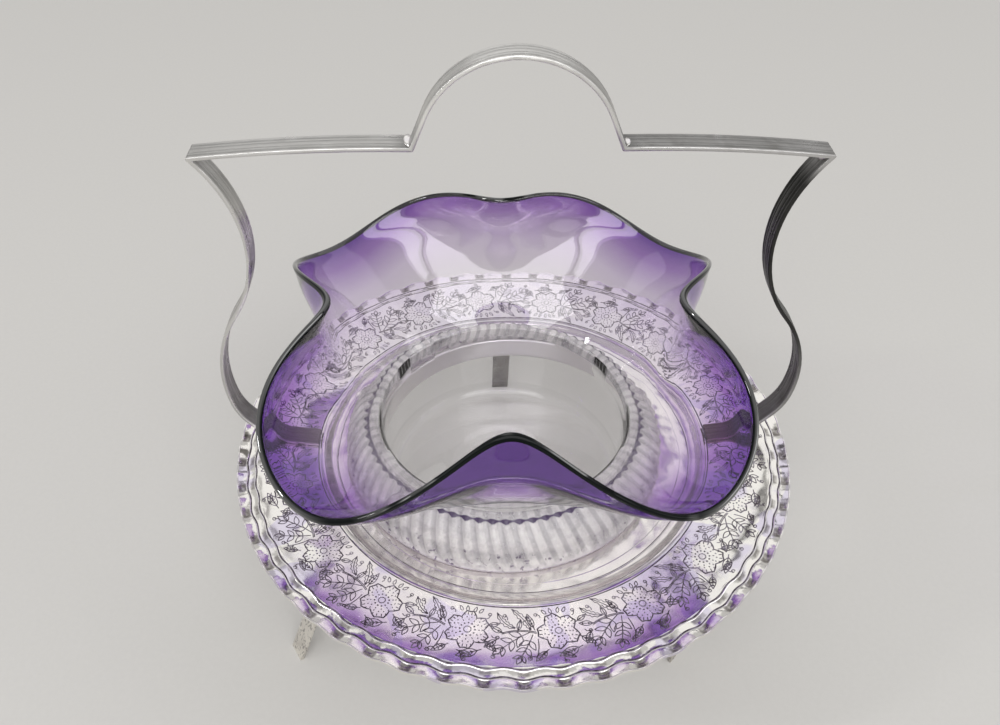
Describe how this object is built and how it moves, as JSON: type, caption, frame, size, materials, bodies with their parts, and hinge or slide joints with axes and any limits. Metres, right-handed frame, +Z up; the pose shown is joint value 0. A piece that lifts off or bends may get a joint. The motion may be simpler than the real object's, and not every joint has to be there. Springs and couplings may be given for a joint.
{
  "type": "sweetmeat dish",
  "caption": "Low table dish: a chased silver ring plate with crimped edge on strap legs, a strap basket handle and a lift-out blown glass bowl with folded rim.",
  "frame": {"origin": "on the floor, on the plate's axis", "axes": "+Z up along the plate's axis, +X along the handle to the right in the picture, -Y towards the camera"},
  "size_m": [0.2, 0.2, 0.2108],
  "materials": {
    "chased_silver": "silver plated, polished, chased with flowers and leaves, lightly tarnished",
    "strap_silver": "silver plated strap, worn and dulled, fine lines along the outer face",
    "leg_silver": "silver plated strap, worn, tarnished on the inner face",
    "amethyst_glass": "blown glass, amethyst at the rim and fading to clear below",
    "clear_glass": "clear glass, pleated"
  },
  "bodies": {
    "stand": {"plate": "chased_silver", "handle": "strap_silver", "leg_back": "leg_silver", "leg_left": "leg_silver", "leg_right": "leg_silver"},
    "glass": {"glass_bowl": "amethyst_glass", "glass_frill": "clear_glass"}
  },
  "joints": [
    {"name": "bowl_lift", "type": "slide", "parent": "stand", "child": "glass", "axis": [0, 0, 1], "range_m": [0, 0.045]}
  ]
}
